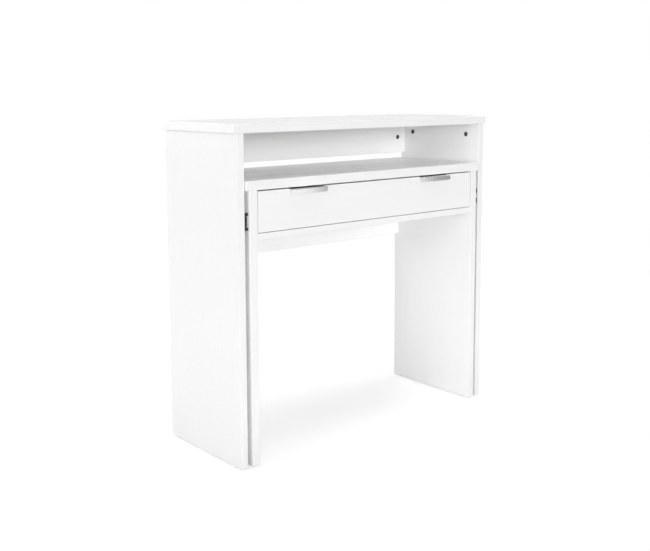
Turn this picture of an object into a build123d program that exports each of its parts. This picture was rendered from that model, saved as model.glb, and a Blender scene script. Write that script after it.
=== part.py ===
from build123d import *
import os

# A console table with a desk inside it that pulls out on telescopic ball slides.
# Millimetres. X to the right, -Y to the front, +Z up, origin on the floor at the middle of the table.

# ---------------------------------------------------------------- carcass
TOP_WIDTH = 960.0
TABLE_HEIGHT = 900.0
CARCASS_DEPTH = 340.0
TOP_OVERHANG = 10.0
TOP_THICKNESS = 24.0
SIDE_THICKNESS = 22.0
UPPER_RAIL_HEIGHT = 104.0
RAIL_THICKNESS = 16.0
EDGE_RADIUS = 1.0

# ---------------------------------------------------------------- pull-out desk
DESK_PROUD = 4.0
DESK_REAR_GAP = 8.0
WORKTOP_REAR_GAP = 17.0
WORKTOP_THICKNESS = 25.0
WORKTOP_END_GAP = 2.0
LEG_THICKNESS = 25.0
SHELF_THICKNESS = 18.0
BACK_RAIL_HEIGHT = 231.0

# ---------------------------------------------------------------- drawer
DRAWER_FRONT_HEIGHT = 107.5
DRAWER_FRONT_THICKNESS = 16.0
DRAWER_GAP_ABOVE = 3.0
DRAWER_GAP_BELOW = 1.5
DRAWER_END_GAP = 2.0
DRAWER_REAR_GAP = 19.0
DRAWER_WALL = 12.0
DRAWER_SIDE_HEIGHT = 84.0
DRAWER_FLOOR_GAP = 5.0
BOTTOM_THICKNESS = 3.0
BOTTOM_RISE = 10.0
GROOVE_DEPTH = 6.0
GROOVE_CLEARANCE = 0.2
CORNER_SCREW_LENGTH = 30.0
CORNER_SCREW_INSET = 18.0
BOTTOM_SCREW_LENGTH = 12.0
BOTTOM_SCREW_SPACING = 190.0

# ---------------------------------------------------------------- edge pulls on the drawer
PULL_LENGTH = 124.0
PULL_END_INSET = 102.0
PULL_PROUD = 10.0
PULL_BOW = 1.5
PULL_SHEET = 2.0
PULL_LIP_DROP = 14.0
PULL_BACK_DROP = 12.0
PULL_CORNER_RADIUS = 3.0
PULL_RECESS = 3.0
PULL_RECESS_END_GAP = 1.0
PULL_SCREW_INSET = 22.0
PULL_SCREW_LENGTH = 12.0

# ---------------------------------------------------------------- telescopic ball slides
SLIDE_HEIGHT = 45.0
SLIDE_SHEET = 1.2
SLIDE_SETBACK = 7.0
SLIDE_REAR_SETBACK = 33.0
SLIDE_DROP = 79.0
SLIDE_SIDE_CLEARANCE = 0.67
BALL_RADIUS = 1.75
BALL_CLEARANCE = 0.06
BALLS_PER_ROW = 6
BALL_PITCH = 20.0
NEST_ANGLE = 45.0
LIP_ANGLE = 20.0
WEB_CLEARANCE = 1.4
BALL_SEAT = 0.9
CAGE_SHEET = 0.5
CAGE_CLEARANCE = 0.3
CAGE_REACH = 1.2
CAGE_OFFSET = 0.35
CAGE_END = 10.0
CAGE_START = 90.0
CAGE_POCKET_CLEARANCE = 0.1
END_CAP_LENGTH = 5.0
END_CAP_CLEARANCE = 0.4
END_CAP_WINDOW = 16.0
MIDDLE_LEAD = 0.5
SLIDE_SCREW_INSET = 28.0
SLIDE_SCREW_LENGTH = 15.0
SLIDE_SLOT_LENGTH = 9.0
SLIDE_SLOT_WIDTH = 4.6
SLIDE_SLOT_SPACING = 32.0

# ---------------------------------------------------------------- roller runners under the drawer
RUNNER_SETBACK = 6.0
RUNNER_END_SETBACK = 9.0
RUNNER_SHEET = 1.2
RUNNER_DROP = 0.6
RUNNER_TOP_FLANGE = 8.0
RUNNER_LIP = 3.0
RUNNER_LIP_GAP = 0.75
RUNNER_SUPPORT = 9.0
RUNNER_FLANGE_GAP = 0.6
RUNNER_WEB_GAP = 0.4
ROLLER_RADIUS = 11.0
ROLLER_WIDTH = 6.6
ROLLER_INSET = 16.0
ROLLER_GAP = 0.2
ROLLER_HEAD_ROOM = 2.1
ROLLER_LEG_ROOM = 1.25
ROLLER_DRAWER_ROOM = 2.45
ROLLER_BORE_CLEARANCE = 0.08
ROLLER_HOLES = 4
ROLLER_HOLE_RADIUS = 1.6
ROLLER_HOLE_CIRCLE = 6.6
PIN_RADIUS = 2.0
PIN_HEAD_RADIUS = 3.2
PIN_HEAD = 0.7
RUNNER_SCREW_INSET = 45.0
RUNNER_SCREW_HEIGHT = 20.5
RUNNER_SCREW_LENGTH = 10.0

# ---------------------------------------------------------------- fixings
CAM_RADIUS = 7.4
CAM_BORE_CLEARANCE = 0.1
CAM_SETBACK = 34.0
CAM_BELOW_AXIS = 4.0
CAM_EDGE_INSET = 53.0
CAM_RECESS_LENGTH = 8.2
CAM_RECESS_WIDTH = 1.6
CAM_RECESS_DEPTH = 1.5
BOLT_BORE_RADIUS = 4.0
BOLT_RADIUS = 3.5
BOLT_HEAD_LENGTH = 4.0
BOLT_HEAD_REACH = 3.0
BOLT_NECK_RADIUS = 2.0
BOLT_SHOULDER_GAP = 1.0
BOLT_THREAD_RADIUS = 2.5
BOLT_THREAD_LENGTH = 11.0
DOWEL_RADIUS = 4.0
DOWEL_LENGTH = 30.0
DOWEL_IN_FACE = 11.0
DOWEL_END_GAP = 1.0
DOWEL_SPACING = 32.0
SCREW_RADIUS = 2.0
SCREW_HEAD_RADIUS = 3.4
FIT = 0.05
OVERCUT = 1.0

# ---------------------------------------------------------------- glides under the boards
GLIDE_RADIUS = 10.0
GLIDE_HEIGHT = 3.0
GLIDE_CHAMFER = 0.8
GLIDE_PIN_RADIUS = 1.5
GLIDE_PIN_LENGTH = 12.0
GLIDE_INSET = 30.0

# ---------------------------------------------------------------- the slide's nest of balls, in its section
# u runs from the side board to the desk's leg and v up from the slide's mid height.
race = BALL_RADIUS + BALL_CLEARANCE
skin = race + SLIDE_SHEET
nest = Vector(race + skin, 0).rotate(Axis.Z, NEST_ANGLE)
inner_ball = Vector(SLIDE_SHEET + WEB_CLEARANCE + skin, SLIDE_HEIGHT / 2 - skin - nest.Y)
outer_ball = inner_ball + nest
slide_thickness = outer_ball.X + skin + SLIDE_SIDE_CLEARANCE

# ---------------------------------------------------------------- the roller runner's section
# u runs from the leg to the drawer's side and v up from the foot of the leg profile.
roller_near = RUNNER_SHEET + ROLLER_LEG_ROOM
roller_far = roller_near + ROLLER_WIDTH
runner_web = roller_far + ROLLER_DRAWER_ROOM
runner_space = runner_web + RUNNER_SHEET
rear_roller_v = RUNNER_SHEET + ROLLER_GAP + ROLLER_RADIUS
runner_flange_v = rear_roller_v + ROLLER_RADIUS + ROLLER_HEAD_ROOM
front_roller_v = runner_flange_v - ROLLER_GAP - ROLLER_RADIUS
runner_height = runner_flange_v + RUNNER_SHEET + RUNNER_FLANGE_GAP + RUNNER_SHEET

# ---------------------------------------------------------------- planes that the boards share
side_outer = TOP_WIDTH / 2 - TOP_OVERHANG
side_inner = side_outer - SIDE_THICKNESS
leg_outer = side_inner - slide_thickness
leg_inner = leg_outer - LEG_THICKNESS
drawer_outer = leg_inner - runner_space
drawer_inner = drawer_outer - DRAWER_WALL
drawer_front_end = leg_inner - DRAWER_END_GAP
pull_middle = drawer_front_end - PULL_END_INSET - PULL_LENGTH / 2
pull_bow_radius = (PULL_LENGTH / 2) ** 2 / (2 * PULL_BOW) + PULL_BOW / 2

carcass_front = (DESK_PROUD + PULL_PROUD - CARCASS_DEPTH) / 2
carcass_rear = carcass_front + CARCASS_DEPTH
desk_front = carcass_front - DESK_PROUD
desk_rear = carcass_rear - DESK_REAR_GAP
desk_rail_front = desk_rear - RAIL_THICKNESS
drawer_start = desk_front + DRAWER_FRONT_THICKNESS
drawer_end = desk_rail_front - DRAWER_REAR_GAP
slide_front = carcass_front + SLIDE_SETBACK
slide_length = CARCASS_DEPTH - SLIDE_SETBACK - SLIDE_REAR_SETBACK
runner_front = drawer_start + RUNNER_SETBACK
runner_length = drawer_end - RUNNER_END_SETBACK - runner_front

top_underside = TABLE_HEIGHT - TOP_THICKNESS
upper_rail_bottom = top_underside - UPPER_RAIL_HEIGHT
worktop_top = upper_rail_bottom - WORKTOP_REAR_GAP
worktop_underside = worktop_top - WORKTOP_THICKNESS
slide_middle = worktop_underside - SLIDE_DROP
back_rail_bottom = worktop_underside - BACK_RAIL_HEIGHT
drawer_front_top = worktop_underside - DRAWER_GAP_ABOVE
drawer_front_bottom = drawer_front_top - DRAWER_FRONT_HEIGHT
pull_seat = drawer_front_top - PULL_RECESS
shelf_top = drawer_front_bottom - DRAWER_GAP_BELOW
shelf_underside = shelf_top - SHELF_THICKNESS
drawer_floor = shelf_top + DRAWER_FLOOR_GAP
drawer_side_top = drawer_floor + DRAWER_SIDE_HEIGHT
bottom_underside = drawer_floor + BOTTOM_RISE
bottom_top = bottom_underside + BOTTOM_THICKNESS
runner_foot = drawer_floor - RUNNER_DROP

SIDES = (-1, 1)
UP = Vector(0, 0, 1)
FRONTWARD = Vector(0, -1, 0)
REARWARD = Vector(0, 1, 0)
RIGHTWARD = Vector(1, 0, 0)


# ---------------------------------------------------------------- small helpers
def block(x, y, z):
    """A box between two x, two y and two z planes."""
    size = [abs(high - low) for low, high in (x, y, z)]
    centre = [(low + high) / 2 for low, high in (x, y, z)]
    return Pos(*centre) * Box(*size)


def mirrored(solid):
    """The same piece on the right-hand side of the table."""
    return mirror(solid, about=Plane.YZ)


def both_sides(solids):
    """Left-hand pieces and their mirror images."""
    return [one for solid in solids for one in (solid, mirrored(solid))]


def softened(board, *axes):
    """A board with its edges along the given axes rounded, as edge banding leaves them."""
    edges = [edge for axis in axes for edge in board.edges().filter_by(axis)]
    return fillet(edges, EDGE_RADIUS)


def softened_edge(board, along, across, end):
    """A board with only its first (0) or last (-1) edges across an axis rounded."""
    return fillet(board.edges().filter_by(along).group_by(across)[end], EDGE_RADIUS)


def turned(points):
    """A solid turned about Z from an outline of (radius, height) points."""
    return revolve(Plane.XZ * make_face(Polyline(*points, close=True)), Axis.Z)


def rod(start, direction, radius, length):
    """A round bar or hole from a point along a direction."""
    plane = Plane(origin=start, z_dir=direction)
    return plane * Cylinder(radius, length, align=(Align.CENTER, Align.CENTER, Align.MIN))


def strip(u_low, u_high, v_low, v_high):
    """A rectangle in a section, u away from the board that carries it and v up."""
    return Pos((u_low + u_high) / 2, (v_low + v_high) / 2) * Rectangle(u_high - u_low, v_high - v_low)


def raceway(centre, start, end):
    """A curved stretch of slide sheet in a section, wrapped round a ball."""
    outside = CenterArc(centre, skin, start, end - start)
    inside = CenterArc(centre, race, start, end - start)
    ends = [Line(outside @ 1, inside @ 1), Line(inside @ 0, outside @ 0)]
    return make_face([outside, inside] + ends)


def up_and_down(section):
    """A section and its mirror image about the slide's centre line."""
    return section + mirror(section, about=Plane.XZ)


def drawn_along(section, x_wall, y_front, length, z_zero):
    """A section drawn out along the table's depth, on the left-hand side."""
    rear_end = Plane(origin=(x_wall, y_front + length, z_zero), x_dir=(1, 0, 0), z_dir=(0, -1, 0))
    return extrude(rear_end * section, amount=length)


def save(name, *solids):
    """Writes one node, of one solid or of several separate ones."""
    node = solids[0] if len(solids) == 1 else Compound(children=list(solids))
    export_step(node, f"parts/{name}.step")


# ---------------------------------------------------------------- fixings
def cam_fixing(edge_point, towards, face, board_thickness):
    """A cam lock in one board, the bolt it pulls on, and the holes in both boards.

    edge_point lies on the joint at mid thickness, towards points into the other board
    and face is the side of the board that the cam is let into.
    """
    frame = Plane(origin=edge_point - towards * CAM_SETBACK, x_dir=towards, z_dir=face)
    along = Vector(1, 0, 0)
    up = Vector(0, 0, 1)
    bore_radius = CAM_RADIUS + CAM_BORE_CLEARANCE
    bore_depth = CAM_BELOW_AXIS + board_thickness / 2
    shoulder = bore_radius + BOLT_SHOULDER_GAP

    channel_radius = BOLT_RADIUS + CAM_BORE_CLEARANCE
    channel = rod(along * -CAM_BELOW_AXIS, along, channel_radius, CAM_BELOW_AXIS + CAM_RADIUS)
    slot = Box(CAM_RECESS_LENGTH, CAM_RECESS_WIDTH, 2 * CAM_RECESS_DEPTH)
    cross = Pos(0, 0, board_thickness / 2) * (slot + Rot(0, 0, 90) * slot)
    cam = rod(up * -(CAM_BELOW_AXIS - FIT), up, CAM_RADIUS, bore_depth - 2 * FIT) - channel - cross

    bolt = rod(along * -BOLT_HEAD_REACH, along, BOLT_RADIUS, BOLT_HEAD_LENGTH)
    bolt += rod(along * 0, along, BOLT_NECK_RADIUS, shoulder)
    bolt += rod(along * shoulder, along, BOLT_RADIUS, CAM_SETBACK - shoulder)
    bolt += rod(along * CAM_SETBACK, along, BOLT_THREAD_RADIUS, BOLT_THREAD_LENGTH)

    holes = rod(up * -CAM_BELOW_AXIS, up, bore_radius, bore_depth + OVERCUT)
    holes += rod(along * 0, along, BOLT_BORE_RADIUS, CAM_SETBACK)
    holes += rod(along * CAM_SETBACK, along, BOLT_THREAD_RADIUS + FIT, BOLT_THREAD_LENGTH + DOWEL_END_GAP)
    return frame * cam, frame * bolt, frame * holes


def dowel_fixing(edge_point, towards):
    """A wooden dowel across a joint and the hole it sits in."""
    start = edge_point - towards * (DOWEL_LENGTH - DOWEL_IN_FACE)
    dowel = rod(start, towards, DOWEL_RADIUS, DOWEL_LENGTH)
    hole_start = start - towards * DOWEL_END_GAP
    hole = rod(hole_start, towards, DOWEL_RADIUS + FIT, DOWEL_LENGTH + 2 * DOWEL_END_GAP)
    return dowel, hole


def screw(face_point, into, length, clearance=0.0):
    """A countersunk screw, flush with the face it is driven through."""
    head = SCREW_HEAD_RADIUS + clearance
    shank = SCREW_RADIUS + clearance
    tip = length + clearance
    outline = [(0, 0), (head, 0), (shank, head - shank), (shank, tip), (0, tip)]
    return Plane(origin=face_point, z_dir=into) * turned(outline)


def screw_row(points, into, length):
    """Screws at several points, with the holes they are driven in."""
    screws = [screw(point, into, length) for point in points]
    holes = [screw(point, into, length, FIT) for point in points]
    return screws, holes


def glide(x, y):
    """A plastic glide nailed up into a board's foot, with its pin hole."""
    foot = turned([
        (0, 0),
        (GLIDE_RADIUS - GLIDE_CHAMFER, 0),
        (GLIDE_RADIUS, GLIDE_CHAMFER),
        (GLIDE_RADIUS, GLIDE_HEIGHT),
        (GLIDE_PIN_RADIUS, GLIDE_HEIGHT),
        (GLIDE_PIN_RADIUS, GLIDE_HEIGHT + GLIDE_PIN_LENGTH),
        (0, GLIDE_HEIGHT + GLIDE_PIN_LENGTH),
    ])
    hole = rod(UP * GLIDE_HEIGHT, UP, GLIDE_PIN_RADIUS + FIT, GLIDE_PIN_LENGTH + FIT)
    return Pos(x, y, 0) * foot, Pos(x, y, 0) * hole


def glide_set(board_middle, front, rear):
    """Four glides under two boards, and their pin holes."""
    places = [(side * board_middle, y) for side in SIDES for y in (front + GLIDE_INSET, rear - GLIDE_INSET)]
    pairs = [glide(x, y) for x, y in places]
    return [foot for foot, hole in pairs], [hole for foot, hole in pairs]


class Fixings:
    """The fixings of one assembly, gathered as its joints are made."""

    def __init__(self):
        self.cams = []
        self.bolts = []
        self.dowels = []
        self.holes = []

    def cam(self, edge_point, towards, face, thickness):
        cam, bolt, holes = cam_fixing(edge_point, towards, face, thickness)
        self.cams.append(cam)
        self.bolts.append(bolt)
        self.holes.append(holes)

    def dowel(self, edge_point, towards):
        dowel, hole = dowel_fixing(edge_point, towards)
        self.dowels.append(dowel)
        self.holes.append(hole)


# ---------------------------------------------------------------- carcass
def build_carcass(slide_holes):
    """Top, two sides and the rail under the top's rear edge."""
    fixings = Fixings()
    side_mid = (side_inner + side_outer) / 2
    rail_front = carcass_rear - RAIL_THICKNESS
    rail_mid = (rail_front + carcass_rear) / 2
    rail_centre = (upper_rail_bottom + top_underside) / 2
    for side in SIDES:
        outward = Vector(side, 0, 0)
        for edge, inward in ((carcass_front, 1), (carcass_rear, -1)):
            cam_y = edge + inward * CAM_EDGE_INSET
            fixings.cam(Vector(side * side_mid, cam_y, top_underside), UP, -outward, SIDE_THICKNESS)
            fixings.dowel(Vector(side * side_mid, cam_y + inward * DOWEL_SPACING, top_underside), UP)
        joint = Vector(side * side_inner, rail_mid, rail_centre)
        fixings.cam(joint, outward, FRONTWARD, RAIL_THICKNESS)
        fixings.dowel(joint + UP * DOWEL_SPACING, outward)
        fixings.dowel(joint - UP * DOWEL_SPACING, outward)
    glides, pin_holes = glide_set(side_mid, carcass_front, carcass_rear)
    depth = (carcass_front, carcass_rear)

    top = block((-TOP_WIDTH / 2, TOP_WIDTH / 2), depth, (top_underside, TABLE_HEIGHT))
    top = softened(top, Axis.X, Axis.Y, Axis.Z) - fixings.holes
    side_board = softened(block((-side_outer, -side_inner), depth, (GLIDE_HEIGHT, top_underside)), Axis.Z)
    side_cuts = fixings.holes + pin_holes + slide_holes
    rail = block((-side_inner, side_inner), (rail_front, carcass_rear), (upper_rail_bottom, top_underside))
    rail = softened_edge(rail, Axis.X, Axis.Z, 0) - fixings.holes

    save("top_panel", top)
    save("left_side_panel", side_board - side_cuts)
    save("right_side_panel", mirrored(side_board) - side_cuts)
    save("upper_back_rail", rail)
    save("carcass_cam_locks", *fixings.cams)
    save("carcass_cam_bolts", *fixings.bolts)
    save("carcass_dowels", *fixings.dowels)
    save("carcass_glides", *glides)


# ---------------------------------------------------------------- pull-out desk
def build_desk(slide_holes, runner_holes):
    """Worktop on two legs, with the shelf under the drawer and the rail behind it."""
    fixings = Fixings()
    leg_mid = (leg_inner + leg_outer) / 2
    rail_mid = (desk_rail_front + desk_rear) / 2
    rail_centre = (worktop_underside + back_rail_bottom) / 2
    shelf_mid = (shelf_top + shelf_underside) / 2
    for side in SIDES:
        outward = Vector(side, 0, 0)
        for edge, inward in ((desk_front, 1), (desk_rear, -1)):
            cam_y = edge + inward * CAM_EDGE_INSET
            fixings.cam(Vector(side * leg_mid, cam_y, worktop_underside), UP, -outward, LEG_THICKNESS)
            fixings.dowel(Vector(side * leg_mid, cam_y + inward * DOWEL_SPACING, worktop_underside), UP)
            joint = Vector(side * leg_inner, cam_y, shelf_mid)
            fixings.cam(joint, outward, -UP, SHELF_THICKNESS)
            fixings.dowel(joint + Vector(0, inward * DOWEL_SPACING, 0), outward)
        for z in (worktop_underside - CAM_EDGE_INSET, back_rail_bottom + CAM_EDGE_INSET):
            fixings.cam(Vector(side * leg_inner, rail_mid, z), outward, REARWARD, RAIL_THICKNESS)
        fixings.dowel(Vector(side * leg_inner, rail_mid, rail_centre), outward)
    glides, pin_holes = glide_set(leg_mid, desk_front, desk_rear)
    depth = (desk_front, desk_rear)
    between_legs = (-leg_inner, leg_inner)

    half_width = side_inner - WORKTOP_END_GAP
    worktop = block((-half_width, half_width), depth, (worktop_underside, worktop_top))
    worktop = softened(worktop, Axis.X, Axis.Y, Axis.Z) - fixings.holes
    leg = softened(block((-leg_outer, -leg_inner), depth, (GLIDE_HEIGHT, worktop_underside)), Axis.Z)
    leg_cuts = fixings.holes + pin_holes + slide_holes + runner_holes
    shelf = block(between_legs, (desk_front, desk_rail_front), (shelf_underside, shelf_top))
    shelf = softened_edge(shelf, Axis.X, Axis.Y, 0) - fixings.holes
    rail = block(between_legs, (desk_rail_front, desk_rear), (back_rail_bottom, worktop_underside))
    rail = softened_edge(rail, Axis.X, Axis.Z, 0) - fixings.holes

    save("worktop", worktop)
    save("left_leg_panel", leg - leg_cuts)
    save("right_leg_panel", mirrored(leg) - leg_cuts)
    save("drawer_shelf", shelf)
    save("desk_back_rail", rail)
    save("desk_cam_locks", *fixings.cams)
    save("desk_cam_bolts", *fixings.bolts)
    save("desk_dowels", *fixings.dowels)
    save("desk_glides", *glides)


# ---------------------------------------------------------------- telescopic ball slides
def slide_bar(half_section, front, length):
    """A bar of the left-hand slide, from the upper half of its section."""
    return drawn_along(up_and_down(half_section), -side_inner, front, length, slide_middle)


def stamped_slots(web, ys):
    """Oblong holes through a left-hand member's web, upright or lying in turn."""
    slots = []
    for count, y in enumerate(ys):
        outline = SlotOverall(SLIDE_SLOT_LENGTH, SLIDE_SLOT_WIDTH, rotation=90 * (count % 2))
        plane = Plane(origin=(web - side_inner - OVERCUT, y, slide_middle), x_dir=(0, 1, 0), z_dir=(1, 0, 0))
        slots.append(extrude(plane * outline, amount=SLIDE_SHEET + 2 * OVERCUT))
    return slots


def caged_balls(ball, half_section, flange_v):
    """One cage of the left-hand slide and the balls in its two rows."""
    span = (BALLS_PER_ROW - 1) * BALL_PITCH
    cage_front = slide_front + CAGE_START
    cage = slide_bar(half_section, cage_front, span + 2 * CAGE_END)
    pocket_radius = BALL_RADIUS + CAGE_POCKET_CLEARANCE
    pocket_length = CAGE_SHEET + 2 * OVERCUT
    balls = []
    pockets = []
    for row in SIDES:
        for count in range(BALLS_PER_ROW):
            x = -side_inner + ball.X
            y = cage_front + CAGE_END + count * BALL_PITCH
            balls.append(Pos(x, y, slide_middle + row * ball.Y) * Sphere(BALL_RADIUS))
            pocket_start = Vector(x, y, slide_middle + row * (flange_v - OVERCUT))
            pockets.append(rod(pocket_start, UP * row, pocket_radius, pocket_length))
    return cage - pockets, balls


def build_slides():
    """Cabinet, middle and desk members with their balls, in cages, on both sides.

    The outer balls run between the cabinet and middle members, and the inner balls between
    the middle and desk members, nested under the outer ones.
    """
    half = SLIDE_HEIGHT / 2
    middle_web = inner_ball.X - skin
    desk_web = slide_thickness - SLIDE_SHEET
    seat_end = inner_ball.X - BALL_SEAT
    seat_v = inner_ball.Y - race

    cabinet_section = strip(0, SLIDE_SHEET, 0, half)
    cabinet_section += strip(0, outer_ball.X, half - SLIDE_SHEET, half)
    cabinet_section += raceway(outer_ball, LIP_ANGLE, 90)

    middle_section = strip(middle_web, middle_web + SLIDE_SHEET, 0, inner_ball.Y)
    middle_section += raceway(inner_ball, NEST_ANGLE, 180)
    middle_section += raceway(outer_ball, 180 + NEST_ANGLE, 360 - LIP_ANGLE)

    desk_section = strip(desk_web, slide_thickness, 0, seat_v)
    desk_section += strip(seat_end, slide_thickness, seat_v - SLIDE_SHEET, seat_v)

    cap_section = strip(middle_web, seat_end - END_CAP_CLEARANCE, END_CAP_WINDOW / 2, half)
    cap_section += strip(middle_web, desk_web, seat_v + BALL_SEAT, half)

    middle_front = slide_front - MIDDLE_LEAD
    cabinet_member = slide_bar(cabinet_section, slide_front, slide_length)
    middle_member = slide_bar(middle_section, middle_front, slide_length)
    desk_member = slide_bar(desk_section, slide_front, slide_length)
    end_caps = slide_bar(cap_section, middle_front - END_CAP_LENGTH, END_CAP_LENGTH).solids()

    mid_y = slide_front + slide_length / 2
    end_y = slide_length / 2 - SLIDE_SCREW_INSET
    screw_ys = (mid_y - end_y, mid_y, mid_y + end_y)
    cabinet_points = [Vector(SLIDE_SHEET - side_inner, y, slide_middle) for y in screw_ys]
    desk_points = [Vector(desk_web - side_inner, y, slide_middle) for y in screw_ys]
    cabinet_screws, cabinet_holes = screw_row(cabinet_points, -RIGHTWARD, SLIDE_SCREW_LENGTH)
    desk_screws, desk_holes = screw_row(desk_points, RIGHTWARD, SLIDE_SCREW_LENGTH)
    slot_ys = [y + end * SLIDE_SLOT_SPACING for y, end in zip(screw_ys, (1, 1, -1))]
    cabinet_member -= cabinet_holes + stamped_slots(0, slot_ys)
    middle_member -= stamped_slots(middle_web, screw_ys)
    desk_member -= desk_holes + stamped_slots(desk_web, slot_ys)

    cage_web = SLIDE_SHEET + (WEB_CLEARANCE - CAGE_SHEET) / 2
    flange_v = outer_ball.Y + CAGE_OFFSET
    outer_section = strip(cage_web, cage_web + CAGE_SHEET, 0, flange_v + CAGE_SHEET)
    outer_section += strip(cage_web, outer_ball.X + CAGE_REACH, flange_v, flange_v + CAGE_SHEET)
    outer_cage, outer_balls = caged_balls(outer_ball, outer_section, flange_v)

    cage_web = middle_web + SLIDE_SHEET + CAGE_CLEARANCE
    flange_v = seat_v + BALL_SEAT
    inner_section = strip(cage_web, cage_web + CAGE_SHEET, 0, flange_v + CAGE_SHEET)
    inner_section += strip(cage_web, outer_ball.X + CAGE_REACH, flange_v, flange_v + CAGE_SHEET)
    inner_cage, inner_balls = caged_balls(inner_ball, inner_section, flange_v)

    save("left_slide_cabinet_member", cabinet_member)
    save("right_slide_cabinet_member", mirrored(cabinet_member))
    save("left_slide_middle_member", middle_member)
    save("right_slide_middle_member", mirrored(middle_member))
    save("left_slide_desk_member", desk_member)
    save("right_slide_desk_member", mirrored(desk_member))
    save("middle_member_end_caps", *both_sides(end_caps))
    save("outer_ball_cages", *both_sides([outer_cage]))
    save("outer_balls", *both_sides(outer_balls))
    save("inner_ball_cages", *both_sides([inner_cage]))
    save("inner_balls", *both_sides(inner_balls))
    save("cabinet_member_screws", *both_sides(cabinet_screws))
    save("desk_member_screws", *both_sides(desk_screws))
    return both_sides(cabinet_holes), both_sides(desk_holes)


# ---------------------------------------------------------------- roller runners
def runner_point(u, y, v):
    """A place on the left-hand runner, from its section's u and v."""
    return Vector(u - leg_inner, y, runner_foot + v)


def rivet_pin(y, v, foot_u, head_u):
    """A pin riveted in a profile's web at foot_u, with its head past the roller at head_u."""
    across = RIGHTWARD if head_u > foot_u else -RIGHTWARD
    head_start = runner_point(head_u, y, v)
    shank = rod(runner_point(foot_u, y, v), across, PIN_RADIUS, abs(head_u - foot_u))
    return shank + rod(head_start, across, PIN_HEAD_RADIUS, PIN_HEAD)


def roller(y, v):
    """A nylon roller with its bore and a ring of lightening holes."""
    centre = runner_point(roller_near, y, v)
    wheel = rod(centre, RIGHTWARD, ROLLER_RADIUS, ROLLER_WIDTH)
    wheel -= rod(centre, RIGHTWARD, PIN_RADIUS + ROLLER_BORE_CLEARANCE, ROLLER_WIDTH)
    for count in range(ROLLER_HOLES):
        spoke = (UP * ROLLER_HOLE_CIRCLE).rotate(Axis.X, count * 360 / ROLLER_HOLES)
        wheel -= rod(centre + spoke, RIGHTWARD, ROLLER_HOLE_RADIUS, ROLLER_WIDTH)
    return wheel


def build_runners():
    """Leg and drawer profiles, each with a nylon roller on a riveted pin, on both sides."""
    lip_end = roller_far + RUNNER_LIP_GAP + RUNNER_SHEET
    leg_section = strip(0, RUNNER_SHEET, 0, runner_height)
    leg_section += strip(0, lip_end, 0, RUNNER_SHEET)
    leg_section += strip(lip_end - RUNNER_SHEET, lip_end, 0, RUNNER_LIP)
    leg_section += strip(0, RUNNER_TOP_FLANGE, runner_height - RUNNER_SHEET, runner_height)

    flange_top = runner_flange_v + RUNNER_SHEET
    ledge = RUNNER_DROP - RUNNER_SHEET
    drawer_section = strip(runner_web, runner_space, ledge, flange_top)
    drawer_section += strip(runner_web, runner_space + RUNNER_SUPPORT, ledge, RUNNER_DROP)
    drawer_section += strip(RUNNER_SHEET + RUNNER_WEB_GAP, runner_space, runner_flange_v, flange_top)

    leg_profile = drawn_along(leg_section, -leg_inner, runner_front, runner_length, runner_foot)
    drawer_profile = drawn_along(drawer_section, -leg_inner, runner_front, runner_length, runner_foot)
    front_y = runner_front + ROLLER_INSET
    rear_y = runner_front + runner_length - ROLLER_INSET
    leg_profile += rivet_pin(front_y, front_roller_v, RUNNER_SHEET, roller_far + ROLLER_GAP)
    drawer_profile += rivet_pin(rear_y, rear_roller_v, runner_web, roller_near - ROLLER_GAP)
    front_roller = roller(front_y, front_roller_v)
    rear_roller = roller(rear_y, rear_roller_v)

    screw_ys = (runner_front + RUNNER_SCREW_INSET, runner_front + runner_length - RUNNER_SCREW_INSET)
    leg_points = [runner_point(RUNNER_SHEET, y, RUNNER_SCREW_HEIGHT) for y in screw_ys]
    drawer_points = [runner_point(runner_web, y, RUNNER_SCREW_HEIGHT) for y in screw_ys]
    leg_screws, leg_holes = screw_row(leg_points, -RIGHTWARD, RUNNER_SCREW_LENGTH)
    drawer_screws, drawer_holes = screw_row(drawer_points, RIGHTWARD, RUNNER_SCREW_LENGTH)
    leg_profile -= leg_holes
    drawer_profile -= drawer_holes

    save("left_runner_leg_profile", leg_profile)
    save("right_runner_leg_profile", mirrored(leg_profile))
    save("left_runner_drawer_profile", drawer_profile)
    save("right_runner_drawer_profile", mirrored(drawer_profile))
    save("left_front_roller", front_roller)
    save("right_front_roller", mirrored(front_roller))
    save("left_rear_roller", rear_roller)
    save("right_rear_roller", mirrored(rear_roller))
    save("leg_profile_screws", *both_sides(leg_screws))
    save("drawer_profile_screws", *both_sides(drawer_screws))
    return both_sides(leg_holes), both_sides(drawer_holes)


# ---------------------------------------------------------------- drawer
def bowed(solid, x_centre, radius):
    """A piece of a pull, cut to a lip of a plan radius whose middle stands at the pull's front."""
    centre = (x_centre, desk_front - PULL_PROUD + pull_bow_radius, pull_seat)
    return solid & Pos(*centre) * Cylinder(radius, 4 * PULL_LIP_DROP)


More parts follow.
